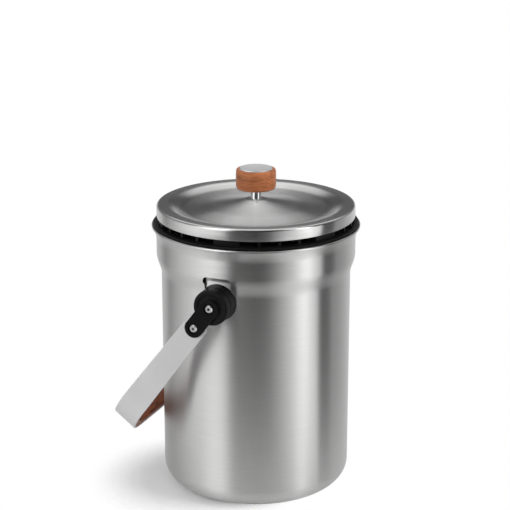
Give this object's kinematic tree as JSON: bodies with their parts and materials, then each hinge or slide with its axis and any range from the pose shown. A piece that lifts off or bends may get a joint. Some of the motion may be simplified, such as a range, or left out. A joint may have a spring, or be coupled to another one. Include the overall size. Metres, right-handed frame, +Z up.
{
  "type": "compost caddy",
  "caption": "Round steel caddy for kitchen scraps, with a swinging strap handle and a lift-off vented lid that holds a charcoal foam disc.",
  "frame": {"origin": "centre of the base, on the plane that the pail stands on", "axes": "+Z up along the pail's axis; the handle's axle lies along Y; the handle hangs on the -X side"},
  "size_m": [0.2077, 0.2174, 0.3008],
  "materials": {
    "brushed_steel": "brushed",
    "satin_steel": "satin",
    "bright_steel": "polished",
    "polished_post": "polished",
    "black_plastic": "satin",
    "dark_link": "satin",
    "soft_black": "matte",
    "grip_wood": "satin",
    "knob_wood": "satin",
    "charcoal_foam": "open foam"
  },
  "bodies": {
    "pail": {"pail_shell": "brushed_steel", "front_boss": "black_plastic", "rear_boss": "black_plastic", "front_pivot_rivet": "bright_steel", "rear_pivot_rivet": "bright_steel"},
    "handle": {"handle_strap": "satin_steel", "handle_grip": "grip_wood", "front_link": "dark_link", "rear_link": "dark_link", "front_strap_rivet": "bright_steel", "rear_strap_rivet": "bright_steel", "front_grip_screw": "bright_steel", "middle_grip_screw": "bright_steel", "rear_grip_screw": "bright_steel"},
    "lid": {"lid_shell": "brushed_steel", "vent_liner": "black_plastic", "lid_gasket": "soft_black", "lid_skirt": "brushed_steel", "knob": "knob_wood", "knob_cap": "brushed_steel", "knob_post": "polished_post", "knob_screw": "bright_steel", "screw_washer": "bright_steel"},
    "filter": {"charcoal_filter": "charcoal_foam"}
  },
  "joints": [
    {"name": "handle_swing", "type": "hinge", "parent": "pail", "child": "handle", "pos_m": [0, 0, 0.1991], "axis": [0, -1, 0], "range_deg": [-285, 0]},
    {"name": "lid_lift", "type": "slide", "parent": "pail", "child": "lid", "axis": [0, 0, 1], "range_m": [0, 0.1395]},
    {"name": "filter_drop", "type": "slide", "parent": "lid", "child": "filter", "axis": [0, 0, -1], "range_m": [0, 0.05]}
  ]
}
